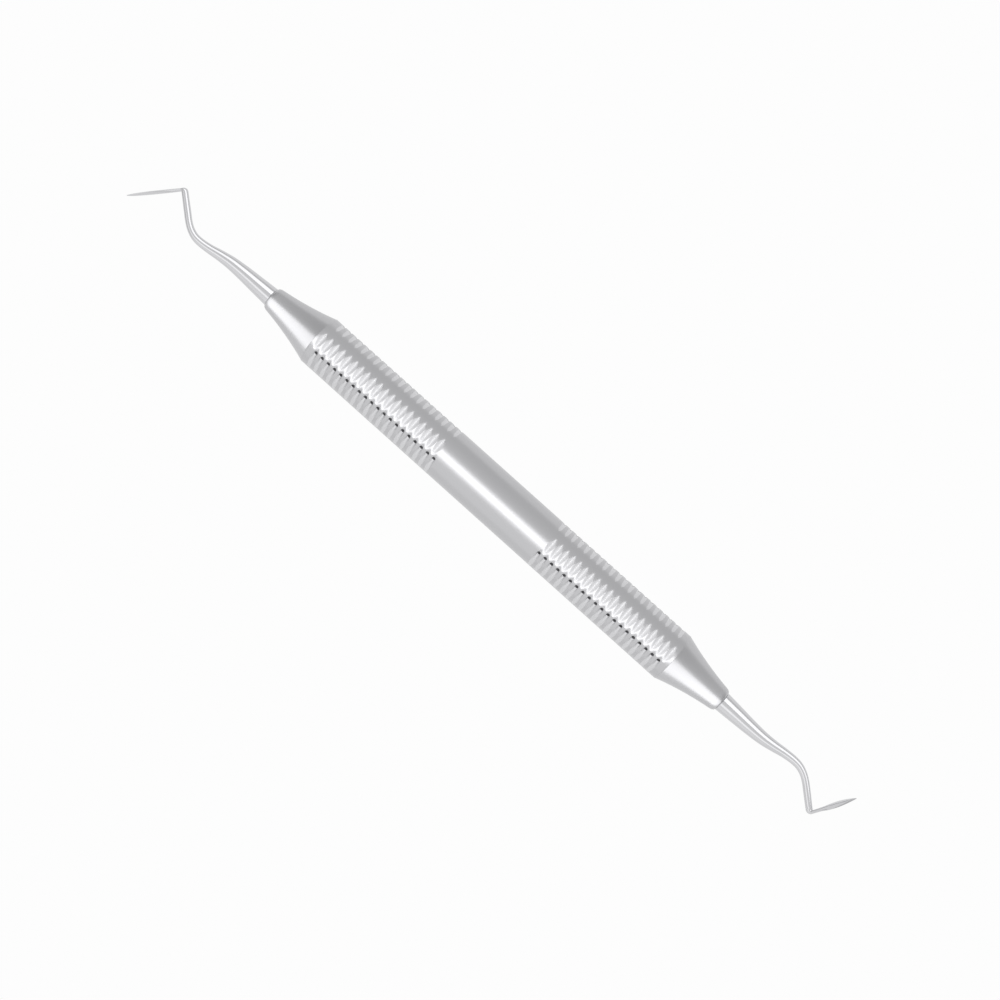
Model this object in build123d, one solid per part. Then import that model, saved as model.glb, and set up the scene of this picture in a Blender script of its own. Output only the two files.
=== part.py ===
"""Double-ended dental hand scaler: a hollow ribbed handle, two tapered end cones and two bent working ends.

Millimetres. The origin is the handle's centre, on its axis. +X runs along the handle towards the right end.
Angles around the handle start at +Z and grow towards +Y. Each working end is drawn pointing along +X and then
turned to its own side.
"""
import math
import os

from build123d import *

# Handle tube
TUBE_R = 4.95
TUBE_BORE_R = 3.6
TUBE_HALF = 43.1
TUBE_EDGE = 0.05

# Grips: planes of short slots across the handle, and scallops milled halfway between the planes
PITCH = 1.5
SLOT_PLANES = 20
FIRST_PLANE = 12.65
SECTORS = 3

# One slot: deepest at its punched head, it runs out as it turns away from the head
SLOT_HEAD_ANGLE = -26.0
SLOT_TURN = 62.0
SLOT_WIDTH = 0.62
SLOT_DEPTHS = (0.45, 0.27, -0.03)
SLOT_OUTSIDE = 0.3
DIMPLE_R = 0.42
DIMPLE_DEPTH = 0.85
DIMPLE_SIDES = 8

# One scallop: a lens-shaped cut across the handle, pointed where it runs out
SCALLOP_HALF_TURN = 27.0
SCALLOP_FLOOR = 0.5
SCALLOP_SLOPE = 36.0
SCALLOP_CUTTER_HEIGHT = 1.0

# End cones, measured along the axis from the tube's end face
CONE_LENGTH = 11.6
CONE_MIDDLE = (5.4, 3.42)
CONE_SHOULDER = (10.7, 2.44)
CONE_NOSE_R = 2.0
SPIGOT_LENGTH = 7.0
SPIGOT_LEAD = 0.4
TANG_R = 1.3
TANG_LENGTH = 9.5
TANG_BORE_LENGTH = 10.0

# Shank: distance along the handle's axis, sideways offset and radius at each station, from the cone outwards
SHANK = [
    (54.7, 0.0, 1.88),
    (58.0, 0.0, 1.68),
    (61.5, 0.0, 1.45),
    (64.5, 0.1, 1.24),
    (67.0, 0.4, 1.04),
    (69.3, 0.78, 0.88),
    (71.3, 0.96, 0.80),
    (72.8, 0.86, 0.74),
    (74.2, 0.36, 0.69),
    (75.5, -0.48, 0.67),
    (77.0, -1.75, 0.67),
    (78.7, -3.22, 0.63),
]
SHANK_DROP = -41.0
DROP_EXTRA = {"left": 1.07, "right": 0.33}
LEAN = {"left": 0.7, "right": -0.7}

# Heel: the tight bend between shank and blade, by the radius of its centreline
HEEL_R = 0.78
HEEL_STEPS = 4

# Blade: leaf-shaped, flat, double-edged. The neck is its half thickness and half width at the heel. Each station
# gives a share of the length, a half thickness and a half width. Rise is the blade's direction in the shank's
# plane, tilt lifts it out of that plane and twist turns its flat about its own length.
BLADE_LENGTH = 10.1
BLADE_NECK = (0.31, 0.42)
BLADE_STATIONS = [
    (0.15, 0.33, 0.52),
    (0.35, 0.32, 0.72),
    (0.55, 0.30, 0.84),
    (0.75, 0.26, 0.66),
    (0.90, 0.20, 0.36),
    (1.00, 0.08, 0.10),
]
BLADE_TWISTED_BY = 0.35
BLADE_RISE = {"left": 46.7, "right": 68.8}
BLADE_TILT = {"left": -3.0, "right": 43.5}
BLADE_TWIST = {"left": 6.0, "right": 40.0}


def around(angle):
    """Turn about the handle's axis by an angle that grows from +Z towards +Y."""
    return Rot(X=-angle)


def slot_planes():
    """Positions along the axis of every plane of slots, in both grips."""
    return [side * (FIRST_PLANE + PITCH * i) for side in (-1, 1) for i in range(SLOT_PLANES)]


def scallop_planes():
    """Positions along the axis of every ring of scallops: between slot planes and outside the last one."""
    return [side * (FIRST_PLANE + PITCH * (i + 0.5)) for side in (-1, 1) for i in range(SLOT_PLANES)]


def slot_arc(depths):
    """An arc across the handle on x = 0, from +Z through the slot's turn, at three depths below its wall."""
    points = []
    for share, depth in zip((0.0, 0.5, 1.0), depths):
        angle = math.radians(-share * SLOT_TURN)
        reach = TUBE_R - depth
        points.append(Vector(0, reach * math.sin(angle), reach * math.cos(angle)))
    return ThreePointArc(*points)


def slot_cutter():
    """A slot whose head is at +Z on the plane x = 0, with the punched pit at its head."""
    floor = slot_arc(SLOT_DEPTHS)
    outside = slot_arc([-SLOT_OUTSIDE] * 3)
    face = make_face([floor, Line(floor @ 1, outside @ 1), outside, Line(outside @ 0, floor @ 0)])
    slot = extrude(face, amount=SLOT_WIDTH / 2, both=True)
    rim = RegularPolygon(DIMPLE_R, DIMPLE_SIDES)
    pit = extrude(Pos(0, 0, TUBE_R - DIMPLE_DEPTH) * rim, amount=2 * DIMPLE_DEPTH)
    return slot + pit


def scallop_cutter():
    """A cut across the top of the handle at x = 0: a flat floor with sloping sides, pointed where it ends."""
    floor = TUBE_R * math.cos(math.radians(SCALLOP_HALF_TURN))
    top = floor + SCALLOP_CUTTER_HEIGHT
    half = SCALLOP_FLOOR / 2
    spread = half + SCALLOP_CUTTER_HEIGHT * math.tan(math.radians(SCALLOP_SLOPE))
    corners = [(-half, 0, floor), (half, 0, floor), (spread, 0, top), (-spread, 0, top)]
    return extrude(make_face(Polyline(*corners, close=True)), amount=TUBE_R, both=True)


def handle_tube():
    """The hollow handle with both grips cut into its wall."""
    tube = Rot(Y=90) * Cylinder(TUBE_R, 2 * TUBE_HALF)
    tube = chamfer(tube.edges().filter_by(GeomType.CIRCLE), TUBE_EDGE)
    tube -= Rot(Y=90) * Cylinder(TUBE_BORE_R, 2 * TUBE_HALF)
    slot = slot_cutter()
    scallop = scallop_cutter()
    cutters = []
    for sector in range(SECTORS):
        turn = sector * 360 / SECTORS
        cutters += [Pos(x, 0, 0) * around(SLOT_HEAD_ANGLE + turn) * slot for x in slot_planes()]
        cutters += [Pos(x, 0, 0) * around(turn) * scallop for x in scallop_planes()]
    return tube.cut(*cutters)


def end_cone():
    """A tapered ferrule pointing along +X, its spigot inside the tube and its bore open at the nose."""
    nose_x = TUBE_HALF + CONE_LENGTH
    spigot_x = TUBE_HALF - SPIGOT_LENGTH
    outline = [
        Line((spigot_x, 0), (spigot_x, TUBE_BORE_R - SPIGOT_LEAD)),
        Line((spigot_x, TUBE_BORE_R - SPIGOT_LEAD), (spigot_x + SPIGOT_LEAD, TUBE_BORE_R)),
        Line((spigot_x + SPIGOT_LEAD, TUBE_BORE_R), (TUBE_HALF, TUBE_BORE_R)),
        Line((TUBE_HALF, TUBE_BORE_R), (TUBE_HALF, TUBE_R - TUBE_EDGE)),
        ThreePointArc(
            (TUBE_HALF, TUBE_R - TUBE_EDGE),
            (TUBE_HALF + CONE_MIDDLE[0], CONE_MIDDLE[1]),
            (TUBE_HALF + CONE_SHOULDER[0], CONE_SHOULDER[1]),
        ),
        Line((TUBE_HALF + CONE_SHOULDER[0], CONE_SHOULDER[1]), (nose_x, CONE_NOSE_R)),
        Line((nose_x, CONE_NOSE_R), (nose_x, 0)),
        Line((nose_x, 0), (spigot_x, 0)),
    ]
    cone = revolve(make_face(outline), Axis.X)
    bore = Pos(nose_x - TANG_BORE_LENGTH / 2, 0, 0) * Rot(Y=90) * Cylinder(TANG_R, TANG_BORE_LENGTH)
    return cone - bore


def direction(rise, tilt):
    """Unit vector at an angle in the shank's plane, lifted out of that plane by tilt."""
    rise = math.radians(rise)
    tilt = math.radians(tilt)
    return Vector(math.cos(tilt) * math.cos(rise), math.cos(tilt) * math.sin(rise), math.sin(tilt))


def section(centre, forward, across, half_thick, half_wide):
    """An oval at a point of the centreline, its wide axis along across."""
    plane = Plane(origin=centre, x_dir=across, z_dir=forward)
    return plane * Ellipse(half_wide, half_thick)


def shank_stations(side):
    """Centre and radius at each station of the shank, with the end's own lean and length of drop."""
    root = SHANK[0][0]
    slope = math.tan(math.radians(LEAN[side]))
    stations = [(Vector(x, y + slope * (x - root), 0), radius) for x, y, radius in SHANK]
    last, radius = stations[-1]
    return stations[:-1] + [(last + heel_start(side) * DROP_EXTRA[side], radius)]


def shank_solid(side):
    """The tapered round shank from the cone's nose to the heel."""
    stations = shank_stations(side)
    line = Spline(*[centre for centre, radius in stations], tangents=[direction(0, 0), heel_start(side)])
    flat = Vector(0, 0, 1)
    ovals = []
    for centre, radius in stations:
        ovals.append(section(centre, line % line.param_at_point(centre), flat, radius, radius))
    return loft(ovals)


def heel_start(side):
    """Direction of the shank where the heel begins."""
    return direction(SHANK_DROP + LEAN[side], 0)


def heel_and_blade(side):
    """The tight bend at the shank's end and the leaf-shaped blade beyond it."""
    start, shank_r = shank_stations(side)[-1]
    begin = heel_start(side)
    finish = direction(BLADE_RISE[side], BLADE_TILT[side])
    turn = math.radians(begin.get_angle(finish))
    inward = (finish - begin * math.cos(turn)).normalized()
    middle = start + inward * HEEL_R
    across = begin.cross(inward)
    bend = []
    for step in range(HEEL_STEPS + 1):
        share = step / HEEL_STEPS
        forward = begin * math.cos(share * turn) + inward * math.sin(share * turn)
        outward = begin * math.sin(share * turn) - inward * math.cos(share * turn)
        half_thick = shank_r + (BLADE_NECK[0] - shank_r) * share
        half_wide = shank_r + (BLADE_NECK[1] - shank_r) * share
        neck = middle + outward * HEEL_R
        bend.append(section(neck, forward, across, half_thick, half_wide))
    leaf = [bend[-1]]
    for share, half_thick, half_wide in BLADE_STATIONS:
        twist = BLADE_TWIST[side] * min(1, share / BLADE_TWISTED_BY)
        wide_way = across.rotate(Axis((0, 0, 0), finish), twist)
        leaf.append(section(neck + finish * (BLADE_LENGTH * share), finish, wide_way, half_thick, half_wide))
    return loft(bend) + loft(leaf)


def working_end(side):
    """Tang, shank, heel and blade in one piece, pointing along +X."""
    tang = Pos(SHANK[0][0] - TANG_LENGTH / 2, 0, 0) * Rot(Y=90) * Cylinder(TANG_R, TANG_LENGTH)
    return tang + shank_solid(side) + heel_and_blade(side)


def placed(side, piece):
    """A piece drawn along +X, taken to its own end of the handle."""
    return piece if side == "right" else Rot(Z=180) * piece


def main():
    os.makedirs("parts", exist_ok=True)
    export_step(handle_tube(), "parts/handle_tube.step")
    for side in ("left", "right"):
        export_step(placed(side, end_cone()), f"parts/cone_{side}.step")
        export_step(placed(side, working_end(side)), f"parts/working_end_{side}.step")


main()
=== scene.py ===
"""Double-ended dental hand scaler: a ribbed hollow handle, two end cones and two bent working ends.

Metres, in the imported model's frame: +X along the handle, angles around it from +Z towards +Y.
"""
import math

import bpy
import numpy as np
from mathutils import Matrix, Vector


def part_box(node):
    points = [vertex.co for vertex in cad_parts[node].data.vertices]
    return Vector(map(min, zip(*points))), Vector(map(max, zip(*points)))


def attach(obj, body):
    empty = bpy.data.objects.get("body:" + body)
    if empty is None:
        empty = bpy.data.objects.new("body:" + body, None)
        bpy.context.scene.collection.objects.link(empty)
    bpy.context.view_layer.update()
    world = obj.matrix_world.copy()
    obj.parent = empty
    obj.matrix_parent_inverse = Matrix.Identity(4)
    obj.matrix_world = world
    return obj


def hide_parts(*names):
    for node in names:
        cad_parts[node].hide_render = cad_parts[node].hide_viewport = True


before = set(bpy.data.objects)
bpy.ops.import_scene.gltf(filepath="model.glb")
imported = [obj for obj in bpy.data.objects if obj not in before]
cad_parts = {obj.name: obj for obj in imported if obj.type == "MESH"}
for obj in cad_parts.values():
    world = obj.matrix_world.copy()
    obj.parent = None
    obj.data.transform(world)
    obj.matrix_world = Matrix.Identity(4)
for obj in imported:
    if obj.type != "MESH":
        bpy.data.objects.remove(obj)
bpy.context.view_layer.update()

MM = 0.001
SIDES = ("left", "right")


# ---- Measures read from the frame --------------------------------------------------------------------------
def box_mm(node):
    """Lowest and highest corner of a CAD node, in millimetres."""
    return [np.array(corner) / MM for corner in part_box(node)]


tube_high = box_mm("handle_tube")[1]
TUBE_HALF = tube_high[0]
TUBE_R = tube_high[2]
NOSE_X = box_mm("cone_right")[1][0]


# ---- Camera, floor and light -------------------------------------------------------------------------------
CAMERA_PLACE = Vector((16.4, 0.3, 330)) * MM
CAMERA_TARGET = Vector((0.95, 0.32, 0)) * MM
CAMERA_UP = Vector((-0.668, 0.744, 0))
CAMERA_LENS = 65.7
CAMERA_SENSOR = 36
CAMERA_NEAR = 10 * MM

LAMP_AWAY = 600
HANDLE_LAMP_LENGTH = 4800
SHANK_LAMP_LENGTH = 2400
FLOOR_HALF = 3000

# Brightness of the surround on its two long sides, and the share of it left beyond the handle's ends. The fall
# runs between two shares of the way from straight above to straight along X.
BRIGHT_SIDE = 1.1
DIM_SIDE = 0.76
FAR_ENDS = 0.6
FALL_FROM = 0.25
FALL_TO = 0.95


def camera():
    """Straight above the handle, which lies across the frame from upper left to lower right."""
    data = bpy.data.cameras.new("camera")
    data.sensor_width = CAMERA_SENSOR
    data.lens = CAMERA_LENS
    data.clip_start = CAMERA_NEAR
    seen = bpy.data.objects.new("camera", data)
    bpy.context.scene.collection.objects.link(seen)
    seen.location = CAMERA_PLACE
    back = (seen.location - CAMERA_TARGET).normalized()
    right = CAMERA_UP.cross(back).normalized()
    seen.rotation_euler = Matrix((right, back.cross(right), back)).transposed().to_euler()
    bpy.context.scene.camera = seen


def lamp(name, low_angle, high_angle, length, radiance, pieces):
    """A softbox along the handle that fills a stretch of the sky and lights only the given pieces.

    Its angles run from +Z towards +Y, in degrees.
    """
    middle = math.radians((low_angle + high_angle) / 2)
    width = 2 * LAMP_AWAY * math.tan(math.radians((high_angle - low_angle) / 2))
    data = bpy.data.lights.new(name, "AREA")
    data.shape = "RECTANGLE"
    data.size, data.size_y = length * MM, width * MM
    data.energy = radiance * math.pi * data.size * data.size_y
    thing = bpy.data.objects.new(name, data)
    bpy.context.scene.collection.objects.link(thing)
    thing.location = Vector((0, math.sin(middle), math.cos(middle))) * LAMP_AWAY * MM
    back = thing.location.normalized()
    along = Vector((1, 0, 0))
    thing.rotation_euler = Matrix((along, back.cross(along), back)).transposed().to_euler()
    lit = bpy.data.collections.new(name + "_lights")
    for piece in pieces:
        lit.objects.link(piece)
    thing.light_linking.receiver_collection = lit


def linear(shade):
    """An sRGB hex colour as linear RGBA."""
    parts = [int(shade[i : i + 2], 16) / 255 for i in (1, 3, 5)]
    return [c / 12.92 if c <= 0.04045 else ((c + 0.055) / 1.055) ** 2.4 for c in parts] + [1.0]


# ---- Nodes -------------------------------------------------------------------------------------------------
def add(tree, kind, settings=None, sockets=None, links=None):
    """Add one node: attributes, then socket values, then links from other nodes' outputs."""
    node = tree.nodes.new("ShaderNode" + kind)
    for name, value in (settings or {}).items():
        setattr(node, name, value)
    for name, value in (sockets or {}).items():
        node.inputs[name].default_value = value
    for name, output in (links or {}).items():
        tree.links.new(output, node.inputs[name])
    return node


def blank_material(name):
    """A new material with no nodes, and its tree."""
    made = bpy.data.materials.new(name)
    made.use_nodes = True
    made.node_tree.nodes.clear()
    return made, made.node_tree


# ---- Meshes ------------------------------------------------------------------------------------------------
def skin(name, rings, material, wrap=False):
    """A closed mesh over rings of points, all the same length.

    Both ends are closed by a fan, or with wrap the last ring is joined to the first.
    """
    rings = np.asarray(rings, float)
    count, around = rings.shape[:2]
    points = rings.reshape(-1, 3)
    here = np.arange(count * around).reshape(count, around)
    if wrap:
        below, above = here, np.roll(here, -1, axis=0)
    else:
        below, above = here[:-1], here[1:]
    quads = np.stack([below, np.roll(below, -1, 1), np.roll(above, -1, 1), above], -1).reshape(-1, 4)
    faces = quads.tolist()
    if not wrap:
        ends = len(points) + np.arange(2)
        points = np.vstack([points, rings[0].mean(0), rings[-1].mean(0)])
        for side, ring in ((0, here[0][::-1]), (1, here[-1])):
            faces += [[int(a), int(b), int(ends[side])] for a, b in zip(ring, np.roll(ring, -1))]
    mesh = bpy.data.meshes.new(name)
    mesh.from_pydata((points * MM).tolist(), [], faces)
    mesh.validate()
    mesh.shade_smooth()
    mesh.materials.append(material)
    made = bpy.data.objects.new(name, mesh)
    bpy.context.scene.collection.objects.link(made)
    return made


def circle(x, radius, angles):
    """Points around the handle's axis at x, at angles from +Z towards +Y."""
    radius = np.broadcast_to(radius, np.shape(angles))
    return np.stack([np.full(len(angles), x), radius * np.sin(angles), radius * np.cos(angles)], -1)


# ---- Handle tube: turned stainless tube, slots drilled and milled into both grips, then bead blasted -------
PITCH = 1.5
SLOT_PLANES = 20
FIRST_PLANE = 12.65
SECTORS = 3
SECTOR = math.radians(120)

SLOT_HEAD = math.radians(-26)
SLOT_TURN = math.radians(55)
SLOT_DEPTH = 0.32
SLOT_HALF = 0.41
SLOT_TAPER = 8
SLOT_SHAPE = 3.0
SLOT_LEAD_IN = 0.75
PIT_R = 0.36
PIT_DEPTH = 0.85
PIT_SHAPE = 2.0
# Pit depth in mm past which a face takes the painted pit shade
PIT_SHADE_BELOW = 0.3

SCALLOP_MIDDLE = math.radians(1)
SCALLOP_TURN = math.radians(23)
SCALLOP_HALF = 0.75
SCALLOP_SHAPE = 1.3
WORN_EDGE = 0.06
LEAST_HALF = 0.01
PLAIN_ROWS = (0.0, 4.0, 8.0, 11.0)
TUBE_SHARP = math.radians(48)

# Face finishes; PIT marks the faces painted with the shade deep in a pit
WALL, SLOT, PIT = range(3)

TUBE_BORE_R = 3.6
TUBE_EDGE = 0.05

# Rows of points, measured from a slot's plane towards the middle of the next scallop
ROW_STEPS = (0, 0.10, 0.19, 0.27, 0.34, 0.41, 0.50, 0.62)
# Columns in one sector, as start angle, end angle and number: closest together over the drilled pit
COLUMN_BANDS = ((-90, -86, 2), (-86, -32, 17), (-32, -20, 12), (-20, 20, 12), (20, 30, 6))


def worn(depth):
    """Depth of a cut with its lip rounded over, never negative."""
    return 0.5 * (depth + np.sqrt(depth * depth + WORN_EDGE**2)) - 0.5 * WORN_EDGE


def slot_depth(off_plane, turn):
    """Depth of a scooped slot by distance from its plane and by turn past its head, 0 to SLOT_TURN."""
    share = np.clip(turn / SLOT_TURN, 0, 1)
    lead_in = np.clip(turn * TUBE_R / SLOT_LEAD_IN + 1, 0, 1)
    half = SLOT_HALF * (1 - share**SLOT_TAPER) * lead_in + LEAST_HALF
    floor = SLOT_DEPTH * (1 - share) * lead_in
    return np.where(turn < SLOT_TURN, floor * (1 - np.abs(off_plane / half) ** SLOT_SHAPE), -1)


def pit_depth(off_plane, turn):
    """Depth of the drilled pit at a slot's head, with a rounded point."""
    away = np.hypot(off_plane, turn * TUBE_R)
    return PIT_DEPTH * (1 - (away / PIT_R) ** PIT_SHAPE)


def scallop_depth(off_plane, angle):
    """Depth of a lens-shaped scallop by distance from its own plane and angle from its middle."""
    deepest = TUBE_R * (1 - math.cos(SCALLOP_TURN))
    lift = deepest * np.abs(off_plane / SCALLOP_HALF) ** SCALLOP_SHAPE
    return TUBE_R - (TUBE_R - deepest + lift) / np.cos(angle)


def sector_columns():
    """Angles of the columns all round the handle."""
    one = np.radians(np.concatenate([np.linspace(a, b, n, endpoint=False) for a, b, n in COLUMN_BANDS]))
    return np.concatenate([one + SECTOR * i for i in range(SECTORS)])


def handle_rows():
    """Positions along the axis of the rows of points, for the right half and then mirrored."""
    steps = np.array(ROW_STEPS)
    grip = [FIRST_PLANE - PITCH / 2]
    for i in range(SLOT_PLANES):
        plane = FIRST_PLANE + PITCH * i
        grip += (plane - steps[::-1]).tolist() + (plane + steps[1:]).tolist() + [plane + PITCH / 2]
    last = grip[-1]
    grip += [last + PITCH / 2 - step for step in ROW_STEPS[:0:-1]] + [last + PITCH / 2]
    half = np.array(list(PLAIN_ROWS) + grip)
    return np.concatenate([-half[:0:-1], half])


def handle_surface(x, angles):
    """Outer radius of the tube at x for each angle, and which finish is there: WALL, SLOT or PIT, where PIT is
    painted shade deep in a drilled pit.
    """
    reach = abs(x)
    depth = np.zeros(len(angles))
    finish = np.full(len(angles), WALL)
    if reach > FIRST_PLANE - PITCH / 2:
        place = (reach - FIRST_PLANE) / PITCH
        slot_plane = min(max(round(place), 0), SLOT_PLANES - 1)
        lens_plane = min(max(round(place - 0.5), 0), SLOT_PLANES - 1) + 0.5
        slot_off = reach - (FIRST_PLANE + PITCH * slot_plane)
        lens_off = reach - (FIRST_PLANE + PITCH * lens_plane)
        # Turn past the nearest head behind, in the direction that the slots run
        before = SLOT_LEAD_IN / TUBE_R
        turn = (SLOT_HEAD + before - angles) % SECTOR - before
        middle = (angles - SCALLOP_MIDDLE + SECTOR / 2) % SECTOR - SECTOR / 2
        slot = slot_depth(slot_off, turn)
        pit = pit_depth(slot_off, turn)
        lens = scallop_depth(lens_off, middle)
        if abs(slot_off) < PITCH / 2:
            depth = np.maximum(depth, np.maximum(worn(slot), worn(pit)))
            finish[(slot > 0) & (slot > lens)] = SLOT
            # Deep pit faces take the darker colour that paints the pit's shade
            finish[pit > PIT_SHADE_BELOW] = PIT
        depth = np.maximum(depth, worn(lens))
    return TUBE_R - depth, finish


def handle_tube(wall, slots, painted_pit_shade):
    """The ribbed tube, with its bore, and a finish each for its wall, its slots and the painted shade deep in
    each drilled pit.
    """
    angles = sector_columns()
    surface = [(x, *handle_surface(x, angles)) for x in handle_rows()]
    rings = [circle(x, radius, angles) for x, radius, finish in surface]
    edge = [(TUBE_HALF - TUBE_EDGE, TUBE_R), (TUBE_HALF - TUBE_EDGE * 0.3, TUBE_R - TUBE_EDGE * 0.3)]
    edge += [(TUBE_HALF, TUBE_R - TUBE_EDGE), (TUBE_HALF, TUBE_BORE_R), (0.0, TUBE_BORE_R)]
    right = [circle(x, radius, angles) for x, radius in edge]
    left = [circle(-x, radius, angles) for x, radius in edge[-2::-1]]
    made = skin("handle_tube_ribbed", rings + right + left, wall, wrap=True)
    # Rings in order of angles from +Z towards +Y come out facing inwards
    made.data.flip_normals()
    made.data.materials.append(slots)
    made.data.materials.append(painted_pit_shade)
    finish = np.array([finish for x, radius, finish in surface])
    # A face takes the slot's finish with three cut corners, and the pit's painted shade with two corners deep
    # in a pit
    beside = np.roll(finish, -1, 1)
    corners = np.stack([finish[:-1], beside[:-1], finish[1:], beside[1:]])
    faces = np.where((corners != WALL).sum(0) > 2, SLOT, WALL)
    faces[(corners == PIT).sum(0) > 1] = PIT
    index = np.full(len(made.data.polygons), WALL)
    index[: faces.size] = faces.ravel()
    made.data.polygons.foreach_set("material_index", index)
    made.data.set_sharp_from_angle(angle=TUBE_SHARP)
    return made


# ---- End cones: turned ferrules pressed into the tube ------------------------------------------------------
CONE_LENGTH = NOSE_X - TUBE_HALF
CONE_MIDDLE = (5.4, 3.42)
CONE_SHOULDER = (10.7, 2.44)
# Rounded nose, as distance back from the nose and radius
CONE_NOSE = ((0.55, 2.37), (0.28, 2.27), (0.1, 2.16), (0.02, 2.05), (0, 1.97))
CONE_EDGE = 0.05
SPIGOT_LENGTH = 7.0
SPIGOT_LEAD = 0.4
TANG_R = 1.3
TANG_BORE_LENGTH = 10.0
LATHE_SEGMENTS = 128
FLANK_POINTS = 40
CONE_SHARP = math.radians(30)


def arc_through(start, middle, end, count):
    """Points along the circular arc through three points of an outline."""
    (ax, ay), (bx, by), (cx, cy) = start, middle, end
    d = 2 * (ax * (by - cy) + bx * (cy - ay) + cx * (ay - by))
    ux = ((ax**2 + ay**2) * (by - cy) + (bx**2 + by**2) * (cy - ay) + (cx**2 + cy**2) * (ay - by)) / d
    uy = ((ax**2 + ay**2) * (cx - bx) + (bx**2 + by**2) * (ax - cx) + (cx**2 + cy**2) * (bx - ax)) / d
    radius = math.hypot(ax - ux, ay - uy)
    first, last = math.atan2(ay - uy, ax - ux), math.atan2(cy - uy, cx - ux)
    return [(ux + radius * math.cos(t), uy + radius * math.sin(t)) for t in np.linspace(first, last, count)]


def lathe(name, outline, side, material):
    """A turned piece from an outline of (x, radius), pointing along +X or, for the left end, along -X."""
    angles = np.linspace(0, 2 * math.pi, LATHE_SEGMENTS, endpoint=False)
    rings = np.array([circle(x, radius, angles) for x, radius in outline])
    if side == "left":
        rings = turned(rings)
    made = skin(name, rings, material)
    # Rings in order of angles from +Z towards +Y come out facing inwards
    made.data.flip_normals()
    made.data.set_sharp_from_angle(angle=CONE_SHARP)
    return made


def turned(points):
    """Points of a right-hand piece, turned half a turn about Z to the left end."""
    return points * np.array([-1, -1, 1])


def end_cone(side, material):
    """A ferrule: its spigot, flank, rounded nose and the bore for the tang."""
    flank = arc_through((0, TUBE_R - TUBE_EDGE), CONE_MIDDLE, CONE_SHOULDER, FLANK_POINTS)
    outline = [(-SPIGOT_LENGTH, TUBE_BORE_R - SPIGOT_LEAD), (-SPIGOT_LENGTH + SPIGOT_LEAD, TUBE_BORE_R)]
    outline += [(-CONE_EDGE, TUBE_BORE_R), (0, TUBE_BORE_R + CONE_EDGE)]
    outline += flank
    outline += [(CONE_LENGTH - back, radius) for back, radius in CONE_NOSE]
    outline += [(CONE_LENGTH, TANG_R + CONE_EDGE), (CONE_LENGTH - CONE_EDGE, TANG_R)]
    outline += [(CONE_LENGTH - TANG_BORE_LENGTH, TANG_R)]
    return lathe(f"cone_{side}_ferrule", [(TUBE_HALF + x, radius) for x, radius in outline], side, material)


# ---- Working ends: tang, shank, heel and blade ground from one bar and polished ----------------------------
SHANK = [
    (54.7, 0.0, 1.88),
    (58.0, 0.0, 1.68),
    (61.5, 0.0, 1.45),
    (64.5, 0.1, 1.24),
    (67.0, 0.4, 1.04),
    (69.3, 0.78, 0.88),
    (71.3, 0.96, 0.80),
    (72.8, 0.86, 0.74),
    (74.2, 0.36, 0.69),
    (75.5, -0.48, 0.67),
    (77.0, -1.75, 0.67),
    (78.7, -3.22, 0.63),
]
SHANK_DROP = -41.0
DROP_EXTRA = {"left": 1.4, "right": 0.66}
LEAN = {"left": 0.7, "right": -0.7}
HEEL_INSIDE_R = 0.14
BLADE_LENGTH = 10.1
BLADE_STATIONS = [
    (0.00, 0.31, 0.42),
    (0.15, 0.33, 0.52),
    (0.35, 0.32, 0.72),
    (0.55, 0.30, 0.84),
    (0.75, 0.26, 0.66),
    (0.90, 0.20, 0.36),
    (1.00, 0.08, 0.10),
]
BLADE_TWISTED_BY = 0.35
LENS_SHAPE = 0.75
BLADE_RISE = {"left": 46.7, "right": 68.8}
BLADE_TILT = {"left": -3.0, "right": 43.5}
BLADE_TWIST = {"left": 6.0, "right": 40.0}
SECTION_POINTS = 48
SHANK_STEPS = 10
HEEL_RINGS = 15
BLADE_STEPS = 8
BLADE_SHARP = math.radians(40)
# Tang and the shoulder outside the cone, as distance from the nose and radius
TANG = ((-9.5, 1.15), (-9.3, TANG_R), (0.0, TANG_R), (0.0, 1.74), (0.05, 1.81), (0.14, 1.86))


def smooth(stations, steps):
    """A smooth curve through every station, with some steps between each two."""
    stations = np.array(stations, float)
    padded = np.vstack([2 * stations[0] - stations[1], stations, 2 * stations[-1] - stations[-2]])
    found = []
    for a, b, c, d in zip(padded, padded[1:], padded[2:], padded[3:]):
        for t in np.linspace(0, 1, steps, endpoint=False):
            square = (2 * a - 5 * b + 4 * c - d) * t**2
            cube = (3 * b - a - 3 * c + d) * t**3
            found.append(0.5 * (2 * b + (c - a) * t + square + cube))
    return np.array(found + [stations[-1]])


def unit(vector):
    """The vector at length 1."""
    return vector / np.linalg.norm(vector)


def direction(rise, tilt=0.0):
    """Unit vector at an angle in the shank's plane, lifted out of that plane by tilt."""
    rise, tilt = math.radians(rise), math.radians(tilt)
    return np.array([math.cos(tilt) * math.cos(rise), math.cos(tilt) * math.sin(rise), math.sin(tilt)])


def section(centre, forward, across, half_thick, half_wide, keen):
    """A ring round the centreline, its wide axis along across.

    It is an oval at keen 0 and a two-edged lens at keen 1.
    """
    round_way = np.linspace(0, 2 * math.pi, SECTION_POINTS, endpoint=False)
    wide = np.cos(round_way) * half_wide
    thick = np.sign(np.sin(round_way)) * np.abs(np.sin(round_way)) ** (1 + LENS_SHAPE * keen) * half_thick
    through = unit(np.cross(forward, across))
    return centre + wide[:, None] * across + thick[:, None] * through


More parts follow.
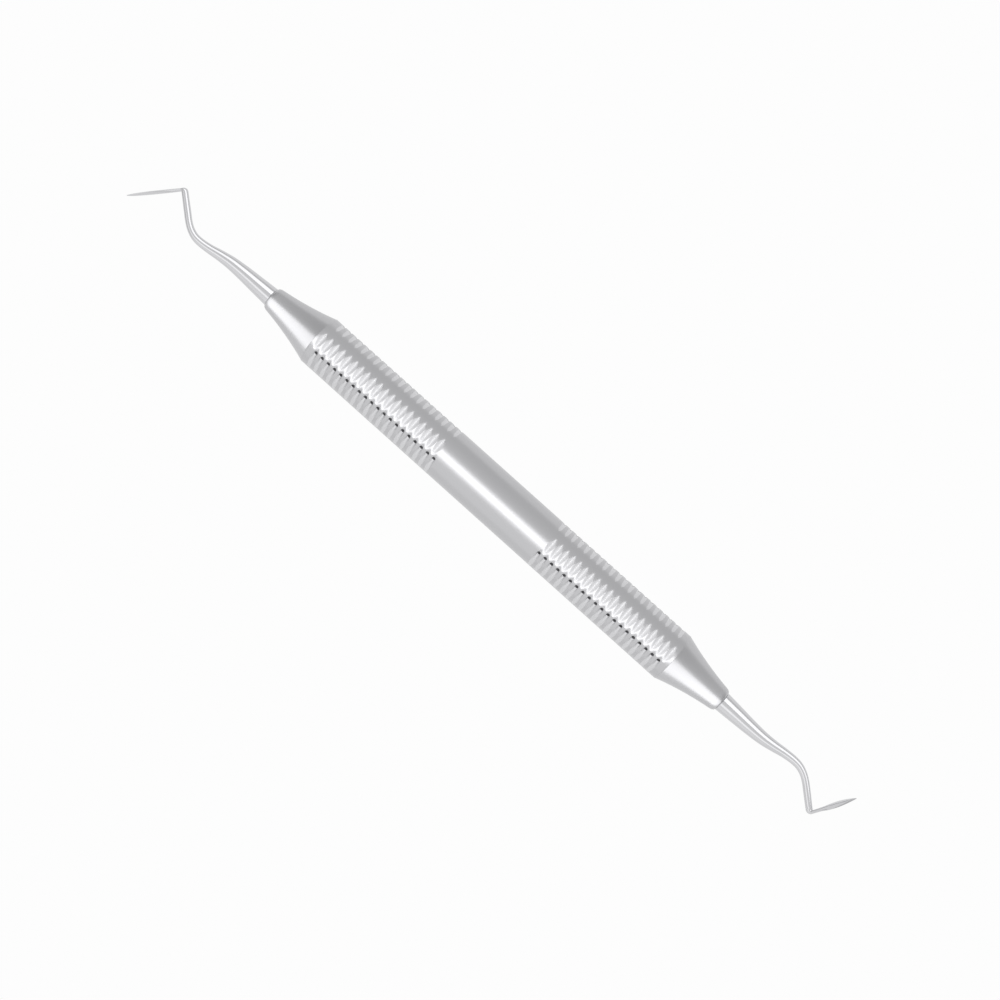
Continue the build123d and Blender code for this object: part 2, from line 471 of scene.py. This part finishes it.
def working_end(side, material):
    """Tang, shank, heel and blade as one skin, drawn pointing along +X."""
    slope = math.tan(math.radians(LEAN[side]))
    nose = SHANK[0][0]
    flat = np.array([0.0, 0.0, 1.0])
    along = direction(0)
    rings = []
    for x, radius in TANG:
        rings.append(section(np.array([nose + x, 0, 0]), along, flat, radius, radius, 0))
    begin = direction(SHANK_DROP + LEAN[side])
    stations = np.array([(x, y + slope * (x - nose), radius) for x, y, radius in SHANK])
    stations[-1, :2] += begin[:2] * DROP_EXTRA[side]
    curve = smooth(stations, SHANK_STEPS)[1:]
    ahead = np.gradient(curve[:, :2], axis=0)
    for (x, y, radius), (dx, dy) in zip(curve[:-1], ahead[:-1]):
        rings.append(section(np.array([x, y, 0]), unit(np.array([dx, dy, 0])), flat, radius, radius, 0))
    start = np.array([curve[-1][0], curve[-1][1], 0])
    shank_r = curve[-1][2]
    finish = direction(BLADE_RISE[side], BLADE_TILT[side])
    turn = math.acos(begin @ finish)
    inward = unit(finish - begin * math.cos(turn))
    across = np.cross(begin, inward)
    _, neck_thick, neck_wide = BLADE_STATIONS[0]
    for share in np.linspace(0, 1, HEEL_RINGS):
        forward = begin * math.cos(share * turn) + inward * math.sin(share * turn)
        outward = begin * math.sin(share * turn) - inward * math.cos(share * turn)
        ease = share * share * (3 - 2 * share)
        half_thick = shank_r + (neck_thick - shank_r) * ease
        half_wide = shank_r + (neck_wide - shank_r) * ease
        centre = start + inward * (HEEL_INSIDE_R + shank_r) + outward * (HEEL_INSIDE_R + half_thick)
        rings.append(section(centre, forward, across, half_thick, half_wide, 0))
    for share, half_thick, half_wide in smooth(BLADE_STATIONS, BLADE_STEPS)[1:]:
        turned_by = math.radians(BLADE_TWIST[side]) * min(1, share / BLADE_TWISTED_BY)
        wide_way = across * math.cos(turned_by) + np.cross(finish, across) * math.sin(turned_by)
        keen = min(1, share / BLADE_TWISTED_BY)
        place = centre + finish * BLADE_LENGTH * share
        rings.append(section(place, finish, wide_way, half_thick, half_wide, keen))
    rings = np.array(rings)
    if side == "left":
        rings = turned(rings)
    made = skin(f"shank_and_blade_{side}", rings, material)
    made.data.set_sharp_from_angle(angle=BLADE_SHARP)
    return made


# ---- Materials ---------------------------------------------------------------------------------------------
def steel(name, shade, mark_mm, smoothest, roughest, depth_mm):
    """Bare stainless steel whose last tool left fine marks: their length along X, Y and Z, and their depth.

    Real marks are a few hundredths of a millimetre wide. These are drawn coarser so that they show.
    """
    made, tree = blank_material(name)
    place = add(tree, "TexCoord").outputs["Object"]
    per_metre = [1 / (length * MM) for length in mark_mm]
    spread = add(tree, "Mapping", sockets={"Scale": per_metre}, links={"Vector": place})
    links = {"Vector": spread.outputs["Vector"]}
    height = add(tree, "TexNoise", sockets={"Scale": 1.0, "Detail": 4}, links=links).outputs["Fac"]
    rough = add(tree, "MapRange", sockets={"To Min": smoothest, "To Max": roughest}, links={"Value": height})
    bump = add(tree, "Bump", sockets={"Strength": 0.25, "Distance": depth_mm * MM}, links={"Height": height})
    metal = add(
        tree,
        "BsdfPrincipled",
        sockets={"Base Color": linear(shade), "Metallic": 1.0},
        links={"Roughness": rough.outputs["Result"], "Normal": bump.outputs["Normal"]},
    )
    add(tree, "OutputMaterial", links={"Surface": metal.outputs["BSDF"]})
    return made


def bead_blasted_steel():
    """Turned, then bead blasted: an even satin grey with a soft highlight and a fine grain."""
    return steel("bead_blasted_stainless", "#BCBCBE", (0.25, 0.25, 0.25), 0.25, 0.37, 0.01)


def lighter_slot_steel():
    """Slot faces drawn lighter than the blasted wall, with marks that run round the handle."""
    return steel("lighter_slot_stainless", "#D0D0D2", (0.11, 1.7, 1.7), 0.30, 0.44, 0.01)


def pit_shade_steel():
    """Darker steel on the deep faces of each drilled pit: painted shade that stands in for the shade down the
    hole.
    """
    return steel("pit_shade_stainless", "#8E8E90", (0.17, 0.17, 0.17), 0.45, 0.65, 0.01)


def polished_steel():
    """Ground along its length and mirror polished, with the faintest grinding lines left."""
    return steel("polished_stainless", "#CBCBCD", (4.0, 0.14, 0.14), 0.09, 0.17, 0.002)


def light_table():
    """Opal acrylic sheet lit from below: an even white with no shadow."""
    made, tree = blank_material("lit_opal_acrylic")
    glow = add(tree, "Emission", sockets={"Color": linear("#FDFDFD"), "Strength": 1.0})
    add(tree, "OutputMaterial", links={"Surface": glow.outputs["Emission"]})
    return made


def surround():
    """White studio walls, brighter on the -Y side and falling off to grey beyond the handle's two ends."""
    world = bpy.data.worlds.new("white_surround")
    bpy.context.scene.world = world
    world.use_nodes = True
    tree = world.node_tree
    way = add(tree, "SeparateXYZ", links={"Vector": add(tree, "TexCoord").outputs["Generated"]})
    sides = add(
        tree,
        "MapRange",
        sockets={"From Min": -1.0, "From Max": 1.0, "To Min": BRIGHT_SIDE, "To Max": DIM_SIDE},
        links={"Value": way.outputs["Y"]},
    )
    reach = add(tree, "Math", {"operation": "ABSOLUTE"}, links={0: way.outputs["X"]})
    ends = add(
        tree,
        "MapRange",
        {"interpolation_type": "SMOOTHSTEP"},
        {"From Min": FALL_FROM, "From Max": FALL_TO, "To Min": 1.0, "To Max": FAR_ENDS},
        {"Value": reach.outputs["Value"]},
    )
    links = {0: sides.outputs["Result"], 1: ends.outputs["Result"]}
    level = add(tree, "Math", {"operation": "MULTIPLY"}, links=links)
    tree.links.new(level.outputs["Value"], tree.nodes["Background"].inputs["Strength"])
    tree.nodes["Background"].inputs["Color"].default_value = linear("#FFFFFF")


def studio(tube, cones, ends):
    """A lit white table, a white surround, and long softboxes of its own for each kind of piece."""
    surround()
    half = FLOOR_HALF * MM
    mesh = bpy.data.meshes.new("backdrop")
    corners = [(-half, -half), (half, -half), (half, half), (-half, half)]
    mesh.from_pydata([(x, y, -TUBE_R * MM) for x, y in corners], [], [(0, 1, 2, 3)])
    mesh.materials.append(light_table())
    backdrop = bpy.data.objects.new("backdrop", mesh)
    bpy.context.scene.collection.objects.link(backdrop)
    lamp("overhead_strip", -28, 5, HANDLE_LAMP_LENGTH, 1.5, [tube])
    lamp("cone_strip", -80, -2, HANDLE_LAMP_LENGTH, 1.15, cones)
    lamp("shank_strip_low", -42, -20, SHANK_LAMP_LENGTH, 0.4, ends)
    lamp("shank_strip_high", 22, 64, SHANK_LAMP_LENGTH, 0.9, ends)
    bpy.context.scene.view_settings.view_transform = "Standard"


camera()
satin = bead_blasted_steel()
polished = polished_steel()
tube = handle_tube(satin, lighter_slot_steel(), pit_shade_steel())
cones = [end_cone(side, satin) for side in SIDES]
ends = [working_end(side, polished) for side in SIDES]
studio(tube, cones, ends)
made = [(tube, "handle_tube", "satin_steel")]
for side, cone, end in zip(SIDES, cones, ends):
    made.append((cone, f"cone_{side}", "satin_steel"))
    made.append((end, f"working_end_{side}", "polished_steel"))
for piece, node, slot in made:
    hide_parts(node)
    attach(piece, "root")
